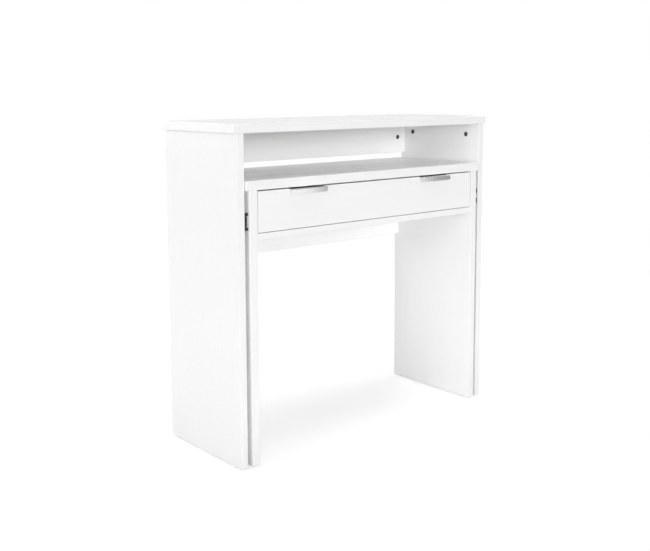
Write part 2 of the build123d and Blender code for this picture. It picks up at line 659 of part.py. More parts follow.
def edge_pull(x_centre):
    """A bent sheet pull let into the drawer front's top edge, with its screws and what is cut for it."""
    lip_face = desk_front - PULL_PROUD
    back_face = drawer_start + PULL_SHEET
    top = pull_seat + PULL_SHEET
    lip_end = top - PULL_LIP_DROP
    back_end = top - PULL_BACK_DROP
    ends = (x_centre - PULL_LENGTH / 2, x_centre + PULL_LENGTH / 2)

    hook = bowed(block(ends, (lip_face, back_face), (lip_end, top)), x_centre, pull_bow_radius)
    top_edges = hook.faces().sort_by(Axis.Z)[-1].edges().sort_by(Axis.Y)
    hook = fillet([top_edges[0], top_edges[-1]], EDGE_RADIUS + PULL_SHEET)
    inside = block(ends, (lip_face, drawer_start), (lip_end - OVERCUT, pull_seat))
    inside = bowed(inside, x_centre, pull_bow_radius - PULL_SHEET)
    lip_bend = inside.faces().sort_by(Axis.Z)[-1].edges().sort_by(Axis.Y)[0]
    hook -= fillet(lip_bend, EDGE_RADIUS)
    hook -= block(ends, (drawer_start - OVERCUT, back_face), (lip_end, back_end))
    lip_corners = hook.edges().filter_by(Axis.Y).group_by(Axis.Z)[0]
    hook = fillet(lip_corners, PULL_CORNER_RADIUS)

    screw_z = (back_end + pull_seat) / 2
    points = [Vector(x, back_face, screw_z) for x in (ends[0] + PULL_SCREW_INSET, ends[1] - PULL_SCREW_INSET)]
    screws, holes = screw_row(points, FRONTWARD, PULL_SCREW_LENGTH)
    recess_ends = (ends[0] - PULL_RECESS_END_GAP, ends[1] + PULL_RECESS_END_GAP)
    recess_depth = (desk_front - OVERCUT, drawer_start + OVERCUT)
    recess = block(recess_ends, recess_depth, (pull_seat, drawer_front_top + OVERCUT))
    return hook - holes, screws, holes + [recess]


def build_drawer(runner_holes):
    """Front, sides, back and grooved bottom, with two edge pulls."""
    fixings = Fixings()
    side_mid = (drawer_inner + drawer_outer) / 2
    back_mid = drawer_end - DRAWER_WALL / 2
    cam_z = (bottom_top + drawer_side_top) / 2
    for side in SIDES:
        fixings.cam(Vector(side * side_mid, drawer_start, cam_z), FRONTWARD, Vector(-side, 0, 0), DRAWER_WALL)
    left_pull, left_pull_screws, left_pull_cuts = edge_pull(-pull_middle)
    right_pull, right_pull_screws, right_pull_cuts = edge_pull(pull_middle)

    groove_end = drawer_inner + GROOVE_DEPTH
    groove_front = drawer_start - GROOVE_DEPTH
    groove = block(
        (-groove_end, groove_end),
        (groove_front, drawer_end),
        (bottom_underside - GROOVE_CLEARANCE, bottom_top + GROOVE_CLEARANCE),
    )
    bottom = block(
        (GROOVE_CLEARANCE - groove_end, groove_end - GROOVE_CLEARANCE),
        (groove_front + GROOVE_CLEARANCE, drawer_end),
        (bottom_underside, bottom_top),
    )

    front_height = (drawer_front_bottom, drawer_front_top)
    front = block((-drawer_front_end, drawer_front_end), (desk_front, drawer_start), front_height)
    front_cuts = fixings.holes + left_pull_cuts + right_pull_cuts + [groove]
    wall_height = (drawer_floor, drawer_side_top)
    wall_board = block((-drawer_outer, -drawer_inner), (drawer_start, drawer_end), wall_height)
    wall_board = softened_edge(wall_board, Axis.Y, Axis.Z, -1)
    back_height = (bottom_top, drawer_side_top)
    back = block((-drawer_inner, drawer_inner), (drawer_end - DRAWER_WALL, drawer_end), back_height)
    back = softened_edge(back, Axis.X, Axis.Z, -1)

    corner_zs = (bottom_top + CORNER_SCREW_INSET, drawer_side_top - CORNER_SCREW_INSET)
    corner_points = [Vector(-drawer_outer, back_mid, z) for z in corner_zs]
    corner_screws, corner_holes = screw_row(corner_points, RIGHTWARD, CORNER_SCREW_LENGTH)
    corner_holes = both_sides(corner_holes)
    bottom_xs = (-BOTTOM_SCREW_SPACING, 0, BOTTOM_SCREW_SPACING)
    bottom_points = [Vector(x, back_mid, bottom_underside) for x in bottom_xs]
    bottom_screws, bottom_holes = screw_row(bottom_points, UP, BOTTOM_SCREW_LENGTH)
    side_cuts = fixings.holes + runner_holes + corner_holes + [groove]

    save("drawer_front", softened(front, Axis.X, Axis.Y, Axis.Z) - front_cuts)
    save("drawer_left_side", wall_board - side_cuts)
    save("drawer_right_side", mirrored(wall_board) - side_cuts)
    save("drawer_back", back - corner_holes - bottom_holes)
    save("drawer_bottom", bottom - bottom_holes)
    save("drawer_cam_locks", *fixings.cams)
    save("drawer_cam_bolts", *fixings.bolts)
    save("drawer_back_screws", *both_sides(corner_screws))
    save("drawer_bottom_screws", *bottom_screws)
    save("left_edge_pull", left_pull)
    save("right_edge_pull", right_pull)
    save("edge_pull_screws", *left_pull_screws, *right_pull_screws)


os.makedirs("parts", exist_ok=True)
cabinet_slide_holes, desk_slide_holes = build_slides()
leg_runner_holes, drawer_runner_holes = build_runners()
build_carcass(cabinet_slide_holes)
build_desk(desk_slide_holes, leg_runner_holes)
build_drawer(drawer_runner_holes)
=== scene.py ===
"""A console table with a desk that pulls out on ball slides: finishes, fixings, floor and light."""

import logging
import math
from abc import ABC, abstractmethod
from collections.abc import Sequence
from dataclasses import dataclass, field
from enum import Enum
from typing import Any

import bmesh
import bpy
from mathutils import Matrix, Vector

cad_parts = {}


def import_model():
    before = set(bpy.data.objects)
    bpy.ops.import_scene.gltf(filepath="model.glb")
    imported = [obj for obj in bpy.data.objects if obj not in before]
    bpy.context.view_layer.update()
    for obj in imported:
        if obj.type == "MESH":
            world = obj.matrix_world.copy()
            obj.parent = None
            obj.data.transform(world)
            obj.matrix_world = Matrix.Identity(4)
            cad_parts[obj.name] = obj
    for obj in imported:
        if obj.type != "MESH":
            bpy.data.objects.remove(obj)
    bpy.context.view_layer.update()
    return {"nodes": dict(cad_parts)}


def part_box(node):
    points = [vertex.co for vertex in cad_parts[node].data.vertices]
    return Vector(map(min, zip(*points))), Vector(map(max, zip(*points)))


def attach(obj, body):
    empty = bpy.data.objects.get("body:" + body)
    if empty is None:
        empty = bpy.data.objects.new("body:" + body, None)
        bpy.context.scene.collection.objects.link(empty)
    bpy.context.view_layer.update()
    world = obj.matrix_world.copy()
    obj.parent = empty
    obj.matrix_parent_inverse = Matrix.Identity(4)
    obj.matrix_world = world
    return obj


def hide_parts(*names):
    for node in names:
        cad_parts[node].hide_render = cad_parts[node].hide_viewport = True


MM = 0.001
MICRON = 0.000001
WELD = 2 * MICRON
PLACE_DIGITS = 5
CRISP_ANGLE = math.radians(35)
IOR = 1.5
LOG = logging.getLogger("pull_out_desk")

Rgb = tuple[float, float, float]
Stretch = tuple[float, float, float]
Range = tuple[float, float]
Term = "Socket | float | Rgb"

WHITE: Rgb = (1.0, 1.0, 1.0)


# ---------------- node trees written as expressions
class Socket:
    """An output of a node tree, whose operators add the Math, Vector Math or Mix node they need."""

    def __init__(self, tree: "NodeTree", output: bpy.types.NodeSocket) -> None:
        """Wraps an output of one of the tree's nodes."""
        self.tree = tree
        self.output = output

    def _joined(self, operation: str, first: Term, second: Term) -> "Socket":
        """Adds the node that joins two terms.

        Args:
            operation: An operation that Math, Vector Math and Mix have in common, such as ADD.
            first: A socket or a constant.
            second: A socket or a constant.

        Returns:
            The result, a colour if either term is one, or else a vector if either is one.
        """
        kinds = {term.output.type for term in (first, second) if isinstance(term, Socket)}
        if "RGBA" in kinds:
            settings = {"data_type": "RGBA", "blend_type": operation}
            values = {"Factor_Float": 1.0, "A_Color": first, "B_Color": second}
            return self.tree.add("ShaderNodeMix", settings, values, "Result_Color")
        kind = "ShaderNodeVectorMath" if "VECTOR" in kinds else "ShaderNodeMath"
        return self.tree.add(kind, {"operation": operation}, {0: first, 1: second})

    def __add__(self, other: Term) -> "Socket":
        """The sum with a socket or a constant."""
        return self._joined("ADD", self, other)

    def __radd__(self, other: Term) -> "Socket":
        """The sum with a constant on the left."""
        return self._joined("ADD", other, self)

    def __sub__(self, other: Term) -> "Socket":
        """The difference from a socket or a constant."""
        return self._joined("SUBTRACT", self, other)

    def __rsub__(self, other: Term) -> "Socket":
        """A constant less this socket."""
        return self._joined("SUBTRACT", other, self)

    def __mul__(self, other: Term) -> "Socket":
        """The product with a socket or a constant."""
        return self._joined("MULTIPLY", self, other)

    def __rmul__(self, other: Term) -> "Socket":
        """The product with a constant on the left."""
        return self._joined("MULTIPLY", other, self)


class NodeTree:
    """A node tree whose nodes all come from one method."""

    def __init__(self, tree: bpy.types.NodeTree) -> None:
        """Empties the tree that is built in."""
        self.tree = tree
        tree.nodes.clear()

    def add(
        self,
        kind: str,
        settings: dict[str, Any] | None = None,
        values: dict[int | str, Any] | None = None,
        output: int | str = 0,
    ) -> Socket | None:
        """Adds a node, with its settings first and then the values or links of its sockets.

        Args:
            kind: The node's type.
            settings: Properties by name, such as a Math node's operation.
            values: Constants, sockets or lists of sockets, by an input's place or identifier.
            output: The place or identifier of the output to return.

        Returns:
            The wrapped output, or None from a node that has none.
        """
        node = self.tree.nodes.new(kind)
        for name, setting in (settings or {}).items():
            setattr(node, name, setting)
        for key, value in (values or {}).items():
            self._feed(self._named(node.inputs, key), value)
        return Socket(self, self._named(node.outputs, output)) if len(node.outputs) else None

    def maths(self, operation: str, first: Term, second: Term = 0.0) -> Socket:
        """A Math node whose operation has no operator here, such as DIVIDE or MINIMUM."""
        return self.add("ShaderNodeMath", {"operation": operation}, {0: first, 1: second})

    @staticmethod
    def _named(sockets: Sequence[bpy.types.NodeSocket], key: int | str) -> bpy.types.NodeSocket:
        """The socket at a place, or with an identifier."""
        by_place = isinstance(key, int)
        return sockets[key] if by_place else next(one for one in sockets if one.identifier == key)

    def _feed(self, socket: bpy.types.NodeSocket, value: Any) -> None:
        """Links or sets one input.

        Args:
            socket: The input.
            value: A socket, a list of sockets for an input that takes several, or a constant.
        """
        if isinstance(value, (Socket, list)):
            for one in value if isinstance(value, list) else [value]:
                self.tree.links.new(one.output, socket)
            return
        if socket.type in ("RGBA", "VECTOR") and isinstance(value, (int, float)):
            value = (value, value, value)
        socket.default_value = (*value, 1.0) if socket.type == "RGBA" and len(value) == 3 else value


class Ray(Enum):
    """The kinds of ray that the floor and the sky tell apart."""

    CAMERA = "Is Camera Ray"
    GLOSS = "Is Glossy Ray"
    GLASS = "Is Transmission Ray"


class Shader(NodeTree):
    """A material's or the world's nodes, on the piece's own Object coordinates."""

    def position(self) -> Socket:
        """The point's place in metres, fixed to the piece."""
        return self.add("ShaderNodeTexCoord", output="Object")

    def axes(self, vector: Socket) -> tuple[Socket, Socket, Socket]:
        """The three parts of a vector."""
        split = self.add("ShaderNodeSeparateXYZ", values={0: vector})
        return tuple(Socket(self, out) for out in split.output.node.outputs)

    def noise(self, vector: Socket, size: float, detail: float = 2.0) -> Socket:
        """Soft noise from 0 to 1, its largest blotches of a size in metres, with finer layers."""
        values = {"Vector": vector, "Scale": 1 / size, "Detail": detail}
        return self.add("ShaderNodeTexNoise", values=values)

    def drawn(
        self, vector: Socket, axis: int, length: float, width: float, detail: float = 2.0
    ) -> Socket:
        """Soft noise drawn out along one axis.

        Args:
            vector: Where it is read.
            axis: The axis that the strokes run along.
            length: The length of a stroke in metres.
            width: The width of a stroke in metres.
            detail: How many finer layers lie on them.

        Returns:
            The noise, from 0 to 1.
        """
        stretch = [1 / width] * 3
        stretch[axis] = 1 / length
        return self.noise(vector * tuple(stretch), size=1.0, detail=detail)

    def rise(self, value: Socket, low: float, high: float) -> Socket:
        """A smooth step from 0 at the low value to 1 at the high one."""
        values = {"Value": value, "From Min": low, "From Max": high}
        return self.add("ShaderNodeMapRange", {"interpolation_type": "SMOOTHSTEP"}, values)

    def blend(self, share: Socket, first: Term, second: Term) -> Socket:
        """A colour that goes from the first to the second with the share."""
        values = {"Factor_Float": share, "A_Color": first, "B_Color": second}
        return self.add("ShaderNodeMix", {"data_type": "RGBA"}, values, "Result_Color")

    def bump(self, height: Socket, depth: float, under: Socket | None = None) -> Socket:
        """A bumped normal.

        Args:
            height: The relief, from 0 to 1.
            depth: The relief's height in metres.
            under: The normal of a coarser relief below it.

        Returns:
            The normal.
        """
        values = {"Height": height, "Distance": depth}
        if under is not None:
            values["Normal"] = under
        return self.add("ShaderNodeBump", values=values)

    def met_by(self, ray: Ray) -> Socket:
        """1 for a ray of one kind, and 0 for any other."""
        return self.add("ShaderNodeLightPath", output=ray.value)

    def end(self, shader: Socket, kind: str = "ShaderNodeOutputMaterial") -> None:
        """Closes the tree with its output node."""
        self.add(kind, values={"Surface": shader})

    def surface(self, **values: Term) -> None:
        """Closes the tree with a Principled shader, its inputs by name with _ for a space."""
        named = {name.replace("_", " "): value for name, value in values.items()}
        self.end(self.add("ShaderNodeBsdfPrincipled", values={"IOR": IOR, **named}))


class GeometryTree(NodeTree):
    """A Geometry Nodes tree with named sizes, run once on a mesh of places."""

    def __init__(self, name: str) -> None:
        """Starts the tree with its places and its material.

        Args:
            name: The tree's name.
        """
        super().__init__(bpy.data.node_groups.new(name, "GeometryNodeTree"))
        self.identifiers: dict[str, str] = {}
        self.sizes: dict[str, float] = {}
        geometry = "NodeSocketGeometry"
        self.tree.interface.new_socket("Geometry", in_out="OUTPUT", socket_type=geometry)
        self.places = self.size("Places", kind=geometry)
        self.material = self.size("Material", kind="NodeSocketMaterial")

    def size(
        self, name: str, value: float | None = None, kind: str = "NodeSocketFloat"
    ) -> Socket:
        """Adds a named input.

        Args:
            name: The input's name.
            value: What every run sets it to, or None where it comes from the run.
            kind: The type of its socket.

        Returns:
            The input as a socket inside the tree.
        """
        item = self.tree.interface.new_socket(name, in_out="INPUT", socket_type=kind)
        self.identifiers[name] = item.identifier
        if value is not None:
            self.sizes[name] = value
        return self.add("NodeGroupInput", output=item.identifier)

    def moved(self, mesh: Socket, height: Term) -> Socket:
        """A mesh raised along Z."""
        offset = self.add("ShaderNodeCombineXYZ", values={"Z": height})
        return self.add("GeometryNodeTransform", values={"Geometry": mesh, "Translation": offset})

    def cylinder(self, sides: int, radius: Term, low: Term, depth: Socket) -> Socket:
        """A closed cylinder about Z that starts at a height."""
        values = {"Vertices": sides, "Radius": radius, "Depth": depth}
        return self.moved(self.add("GeometryNodeMeshCylinder", values=values), low + depth * 0.5)

    def cone(self, sides: int, foot: Term, top: Term, low: Term, depth: Term) -> Socket:
        """A closed cone about Z, from a foot's radius at a height to a top's radius."""
        values = {"Vertices": sides, "Radius Bottom": foot, "Radius Top": top, "Depth": depth}
        return self.moved(self.add("GeometryNodeMeshCone", values=values), low)

    def joined(self, *meshes: Socket) -> Socket:
        """Several meshes as one."""
        return self.add("GeometryNodeJoinGeometry", values={"Geometry": list(meshes)})

    def set_out(self, mesh: Socket) -> None:
        """Puts the mesh on every place, turned so that its Z points along the place's heading.

        Args:
            mesh: One copy, standing on the origin.
        """
        settings = {"data_type": "FLOAT_VECTOR"}
        heading = self.add("GeometryNodeInputNamedAttribute", settings, {"Name": Place.HEADING})
        turn = self.add("FunctionNodeAlignRotationToVector", {"axis": "Z"}, {"Vector": heading})
        values = {"Points": self.places, "Instance": mesh, "Rotation": turn}
        copies = self.add("GeometryNodeInstanceOnPoints", values=values)
        solid = self.add("GeometryNodeRealizeInstances", values={"Geometry": copies})
        values = {"Geometry": solid, "Material": self.material}
        self.add("NodeGroupOutput", values={0: self.add("GeometryNodeSetMaterial", values=values)})

    def run(
        self, name: str, places: Sequence["Place"], material: bpy.types.Material
    ) -> bpy.types.Object:
        """Runs the tree on places and keeps the result as a plain mesh.

        Args:
            name: The finished piece's name.
            places: Where the copies go, the first of which gives the length of all.
            material: The finish of every copy.

        Returns:
            The finished piece, at the origin.
        """
        start = bpy.data.meshes.new(f"{name}_places")
        start.from_pydata([place.point for place in places], [], [])
        headings = start.attributes.new(Place.HEADING, "FLOAT_VECTOR", "POINT")
        for datum, place in zip(headings.data, places):
            datum.vector = place.heading
        piece = bpy.data.objects.new(name, start)
        bpy.context.scene.collection.objects.link(piece)
        modifier = piece.modifiers.new("copies", "NODES")
        modifier.node_group = self.tree
        inputs = {"Material": material, "Length": places[0].length, **self.sizes}
        for size, value in inputs.items():
            modifier[self.identifiers[size]] = value
        view = bpy.context.evaluated_depsgraph_get()
        mesh = bpy.data.meshes.new_from_object(piece.evaluated_get(view), depsgraph=view)
        piece.modifiers.clear()
        piece.data = mesh
        mesh.name = name
        return piece


# ---------------- what the frame says
@dataclass(frozen=True)
class Place:
    """A point on the frame, the way that a fixing there is driven, and how far it goes."""

    HEADING = "heading"

    point: Vector
    heading: Vector
    length: float


@dataclass(frozen=True)
class Box:
    """A node's lowest and highest corners."""

    low: Vector
    high: Vector

    @classmethod
    def of(cls, node: str) -> "Box":
        """The box of a node of the frame."""
        return cls(*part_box(node))

    @property
    def size(self) -> Vector:
        """The box's three lengths."""
        return self.high - self.low

    @property
    def thin_axis(self) -> int:
        """The axis along which the box is thinnest."""
        return min(range(3), key=lambda axis: self.size[axis])

    @property
    def long_axis(self) -> int:
        """The axis along which the box is longest."""
        return max(range(3), key=lambda axis: self.size[axis])


def separate_solids(node: bpy.types.Object) -> list[list[Vector]]:
    """The corners of each separate solid of a node.

    Args:
        node: A node of the frame, which isn't changed.

    Returns:
        One list of corners for each solid, in the order of their places.
    """
    copy = bmesh.new()
    copy.from_mesh(node.data)
    bmesh.ops.remove_doubles(copy, verts=copy.verts, dist=WELD)
    left = set(copy.verts)
    solids = []
    while left:
        reached = [left.pop()]
        solid = []
        while reached:
            corner = reached.pop()
            solid.append(corner.co.copy())
            near = {edge.other_vert(corner) for edge in corner.link_edges} & left
            left -= near
            reached.extend(near)
        solids.append(solid)
    copy.free()
    return sorted(
        solids, key=lambda solid: tuple(round(part, PLACE_DIGITS) for part in min(solid, key=tuple))
    )


def driven_place(solid: Sequence[Vector]) -> Place:
    """Where a fixing's head is and which way it goes.

    Args:
        solid: The corners of one screw or dowel.

    Returns:
        The middle of its wider end, and the way to the other one.
    """
    low = Vector(min(corner[axis] for corner in solid) for axis in range(3))
    high = Vector(max(corner[axis] for corner in solid) for axis in range(3))
    span = high - low
    axis = max(range(3), key=lambda one: span[one])
    middle = (low + high) / 2
    reach = {end: 0.0 for end in (low[axis], high[axis])}
    for corner in solid:
        end = min(reach, key=lambda one: abs(corner[axis] - one))
        if abs(corner[axis] - end) < WELD:
            across = corner - middle
            across[axis] = 0
            reach[end] = max(reach[end], across.length)
    head, tip = sorted(reach, key=lambda end: (-round(reach[end], PLACE_DIGITS), end))
    point = middle.copy()
    point[axis] = head
    heading = Vector((0, 0, 0))
    heading[axis] = math.copysign(1, tip - head)
    return Place(point, heading, abs(tip - head))


# ---------------- finishes
class Finish(ABC):
    """A way to finish a surface."""

    @abstractmethod
    def paint(self, shader: Shader, box: Box) -> None:
        """Builds the finish's nodes.

        Args:
            shader: The material's empty tree.
            box: The box of the piece that gets it.
        """

    def on(self, name: str, box: Box) -> bpy.types.Material:
        """The finish as a material for one piece.

        Args:
            name: The material's name.
            box: The box of the piece.

        Returns:
            The new material.
        """
        material = bpy.data.materials.new(name)
        material.use_nodes = True
        self.paint(Shader(material.node_tree), box)
        return material


@dataclass(frozen=True)
class WhiteMelamine(Finish):
    """Silk white melamine with a faint drawn grain, and thin edge bands butted at the corners."""

    colour: Rgb = (0.932, 0.932, 0.930)
    shade: Rgb = (0.914, 0.914, 0.911)
    pore_shade: Rgb = (0.88, 0.88, 0.875)
    seam_colour: Rgb = (0.70, 0.695, 0.68)
    roughness: float = 0.24
    shade_roughness: float = 0.03
    pore_roughness: float = 0.03
    band_polish: float = 0.03
    figure_width: float = 34 * MM
    figure_length: float = 520 * MM
    figure_share: float = 0.75
    figure_range: Range = (0.34, 0.66)
    streak_width: float = 4.5 * MM
    streak_length: float = 160 * MM
    pore_width: float = 0.45 * MM
    pore_length: float = 9 * MM
    pore_range: Range = (0.56, 0.70)
    pore_strength: float = 0.3
    pore_depth: float = 8 * MICRON
    press_size: float = 60 * MM
    press_depth: float = 30 * MICRON
    band: float = 0.8 * MM
    band_fade: float = 0.16 * MM
    seam: float = 0.22 * MM
    seam_core: float = 0.066 * MM
    seam_strength: float = 0.8

    def paint(self, shader: Shader, box: Box) -> None:
        """Builds the grain drawn along the board, its pores, and the hairline of each edge band.

        Args:
            shader: The material's empty tree.
            box: The box of the board.
        """
        place = shader.position()
        parts = shader.axes(place)
        along = box.long_axis
        figure = shader.drawn(place, along, self.figure_length, self.figure_width)
        streaks = shader.drawn(place, along, self.streak_length, self.streak_width)
        pits = shader.drawn(place, along, self.pore_length, self.pore_width, detail=1)
        pores = shader.rise(pits, *self.pore_range)
        insets = [
            shader.maths("MINIMUM", parts[axis] - box.low[axis], box.high[axis] - parts[axis])
            for axis in range(3)
            if axis != box.thin_axis
        ]
        edge = shader.maths("MINIMUM", *insets)
        from_seam = shader.maths("ABSOLUTE", edge - self.band)
        seam = 1 - shader.rise(from_seam, self.seam_core, self.seam)
        on_band = 1 - shader.rise(edge, self.band - self.band_fade, self.band)
        drawn = figure * self.figure_share + streaks * (1 - self.figure_share)
        shaded = shader.rise(drawn, *self.figure_range)
        face = shader.blend(shaded, self.colour, self.shade)
        grained = shader.blend(pores * self.pore_strength, face, self.pore_shade)
        press = shader.bump(shader.noise(place, self.press_size, detail=1), self.press_depth)
        rough = self.roughness + shaded * self.shade_roughness + pores * self.pore_roughness
        shader.surface(
            Base_Color=shader.blend(seam * self.seam_strength, grained, self.seam_colour),
            Roughness=rough - on_band * self.band_polish,
            Normal=shader.bump(1 - pores - seam, self.pore_depth, press),
        )


@dataclass(frozen=True)
class LacqueredFibreboard(Finish):
    """Thin hardboard, lacquered white above and bare brown fibre below and at its edges."""

    lacquer: Rgb = (0.86, 0.86, 0.855)
    fibre: Rgb = (0.26, 0.145, 0.07)
    dark_fibre: Rgb = (0.13, 0.068, 0.032)
    roughness: float = 0.72
    lacquer_polish: float = 0.32
    fibre_roughness: float = 0.08
    fibre_size: float = 2.2 * MM
    fibre_stretch: Stretch = (1.0, 3.0, 3.0)
    fibre_depth: float = 60 * MICRON
    fleck_size: float = 9 * MM
    fleck_stretch: Stretch = (2.0, 1.0, 1.0)
    fleck_range: Range = (0.16, 0.38)
    film: float = 0.3 * MM
    film_fade: float = 0.12 * MM

    def paint(self, shader: Shader, box: Box) -> None:
        """Builds the lacquer down to its film's depth and the pressed fibres under it.

        Args:
            shader: The material's empty tree.
            box: The box of the sheet.
        """
        place = shader.position()
        height = shader.axes(place)[2]
        film_foot = box.high.z - self.film
        lacquered = shader.rise(height, film_foot, film_foot + self.film_fade)
        strands = shader.noise(place * self.fibre_stretch, self.fibre_size, detail=5)
        flecks = shader.noise(place * self.fleck_stretch, self.fleck_size, detail=4)
        mixed = shader.rise(strands * flecks, *self.fleck_range)
        brown = shader.blend(mixed, self.dark_fibre, self.fibre)
        rough = self.roughness - lacquered * self.lacquer_polish
        shader.surface(
            Base_Color=shader.blend(lacquered, brown, self.lacquer),
            Roughness=rough + strands * self.fibre_roughness,
            Normal=shader.bump(strands, self.fibre_depth),
        )


@dataclass(frozen=True)
class DarkCast(Finish):
    """Die-cast zinc coloured near black: partly the cam locks' dark passivation, and partly painted
    shade of the bores they sit in.
    """

    # near-black colour: dark passivated zinc plus painted shade of the bores around the cams
    colour: Rgb = (0.075, 0.075, 0.078)
    worn: Rgb = (0.17, 0.17, 0.175)
    metallic: float = 0.75
    roughness: float = 0.5
    grain_roughness: float = 0.1
    worn_polish: float = 0.14
    grain: float = 0.5 * MM
    grain_depth: float = 22 * MICRON
    grain_share: float = 0.2
    worn_size: float = 2.5 * MM
    worn_range: Range = (0.52, 0.72)
    worn_share: float = 0.6

    def paint(self, shader: Shader, box: Box) -> None:
        """Builds the casting's grain and its rubbed spots.

        Args:
            shader: The material's empty tree.
            box: The box of the castings; not used.
        """
        place = shader.position()
        grain = shader.noise(place, self.grain, detail=3)
        rubbed = shader.rise(shader.noise(place, self.worn_size), *self.worn_range)
        share = rubbed * self.worn_share + grain * self.grain_share
        rough = self.roughness - rubbed * self.worn_polish + grain * self.grain_roughness
        shader.surface(
            Base_Color=shader.blend(share, self.colour, self.worn),
            Metallic=self.metallic,
            Roughness=rough,
            Normal=shader.bump(grain, self.grain_depth),
        )


@dataclass(frozen=True)
class RolledSteel(Finish):
    """Bright zinc on rolled steel, with the rolling marks along one axis."""

    colour: Rgb = (0.64, 0.65, 0.66)
    dull: Rgb = (0.52, 0.53, 0.545)
    roughness: float = 0.32
    bloom_roughness: float = 0.06
    mark_roughness: float = 0.08
    mark_length: float = 60 * MM
    mark_width: float = 0.5 * MM
    mark_depth: float = 4 * MICRON
    bloom_size: float = 14 * MM
    bloom_range: Range = (0.35, 0.68)
    bloom_share: float = 0.7
    along: int = 1

    def paint(self, shader: Shader, box: Box) -> None:
        """Builds the rolling marks and the zinc's clouded bloom.

        Args:
            shader: The material's empty tree.
            box: The box of the piece; not used.
        """
        place = shader.position()
        marks = shader.drawn(place, self.along, self.mark_length, self.mark_width, detail=3)
        clouds = shader.noise(place, self.bloom_size, detail=4)
        bloom = shader.rise(clouds, *self.bloom_range)
        share = bloom * self.bloom_share + marks * (1 - self.bloom_share)
        rough = self.roughness + bloom * self.bloom_roughness + marks * self.mark_roughness
        shader.surface(
            Base_Color=shader.blend(share, self.colour, self.dull),
            Metallic=1.0,
            Roughness=rough,
            Normal=shader.bump(marks, self.mark_depth),
        )


@dataclass(frozen=True)
class BrushedSatin(Finish):
    """Bright aluminium sheet, brushed along the pull and anodised."""

    colour: Rgb = (0.97, 0.965, 0.975)
    dull: Rgb = (0.90, 0.89, 0.91)
    roughness: float = 0.13
    stroke_roughness: float = 0.08
    broad_roughness: float = 0.04
    stroke_length: float = 30 * MM
    stroke_width: float = 0.16 * MM
    stroke_depth: float = 1.5 * MICRON
    stroke_share: float = 0.6
    broad_length: float = 75 * MM
    broad_width: float = 0.8 * MM

    def paint(self, shader: Shader, box: Box) -> None:
        """Builds the fine brush strokes and a few longer, duller ones.

        Args:
            shader: The material's empty tree.
            box: The box of the pull.
        """
        place = shader.position()
        along = box.long_axis
        strokes = shader.drawn(place, along, self.stroke_length, self.stroke_width, detail=3)
        broad = shader.drawn(place, along, self.broad_length, self.broad_width)
        share = strokes * self.stroke_share + broad * (1 - self.stroke_share)
        rough = self.roughness + strokes * self.stroke_roughness + broad * self.broad_roughness
        shader.surface(
            Base_Color=shader.blend(share, self.colour, self.dull),
            Metallic=1.0,
            Roughness=rough,
            Normal=shader.bump(strokes, self.stroke_depth),
        )


@dataclass(frozen=True)
class GroundSteel(Finish):
    """Hard steel, ground and polished, under a trace of grease."""

    colour: Rgb = (0.78, 0.78, 0.79)
    greased: Rgb = (0.52, 0.50, 0.44)
    roughness: float = 0.07
    smear_roughness: float = 0.16
    smear_size: float = 2.4 * MM
    smear_range: Range = (0.45, 0.7)
    smear_strength: float = 0.5

    def paint(self, shader: Shader, box: Box) -> None:
        """Builds the polish and the smears of grease on it.

        Args:
            shader: The material's empty tree.
            box: The box of the balls; not used.
        """
        smudge = shader.noise(shader.position(), self.smear_size, detail=3)
        smear = shader.rise(smudge, *self.smear_range)
        shader.surface(
            Base_Color=shader.blend(smear * self.smear_strength, self.colour, self.greased),
            Metallic=1.0,
            Roughness=self.roughness + smear * self.smear_roughness,
        )


@dataclass(frozen=True)
class Moulded(Finish):
    """Moulded plastic with the fine grain of its tool."""

    colour: Rgb
    shade: Rgb
    roughness: float
    grain_roughness: float = 0.12
    flow_roughness: float = 0.05
    grain: float = 0.35 * MM
    grain_depth: float = 14 * MICRON
    flow_size: float = 7 * MM
    flow_range: Range = (0.3, 0.7)
    glow: float = 0.0
    glow_depth: float = 1.5 * MM

    def paint(self, shader: Shader, box: Box) -> None:
        """Builds the tool's grain and the faint flow marks.

        Args:
            shader: The material's empty tree.
            box: The box of the mouldings; not used.
        """
        place = shader.position()
        grain = shader.noise(place, self.grain)
        flow = shader.noise(place, self.flow_size, detail=3)
        rough = self.roughness + grain * self.grain_roughness + flow * self.flow_roughness
        shader.surface(
            Base_Color=shader.blend(shader.rise(flow, *self.flow_range), self.colour, self.shade),
            Roughness=rough,
            Subsurface_Weight=self.glow,
            Subsurface_Scale=self.glow_depth,
            Normal=shader.bump(grain, self.grain_depth),
        )


@dataclass(frozen=True)
class WhiteEnamel(Finish):
    """White epoxy powder on sheet steel, with its orange peel."""

    colour: Rgb = (0.80, 0.80, 0.785)
    thin: Rgb = (0.74, 0.74, 0.73)
    roughness: float = 0.28
    thin_roughness: float = 0.1
    peel_roughness: float = 0.05
    peel_size: float = 2.2 * MM
    peel_depth: float = 30 * MICRON
    thin_size: float = 19.8 * MM
    thin_range: Range = (0.4, 0.75)
    thin_strength: float = 0.7

    def paint(self, shader: Shader, box: Box) -> None:
        """Builds the orange peel, a little greyer where the powder lies thin.

        Args:
            shader: The material's empty tree.
            box: The box of the profile; not used.
        """
        place = shader.position()
        peel = shader.noise(place, self.peel_size, detail=1)
        patches = shader.noise(place, self.thin_size, detail=3)
        thin = shader.rise(patches, *self.thin_range)
        rough = self.roughness + thin * self.thin_roughness + peel * self.peel_roughness
        shader.surface(
            Base_Color=shader.blend(thin * self.thin_strength, self.colour, self.thin),
            Roughness=rough,
            Normal=shader.bump(peel, self.peel_depth),
        )


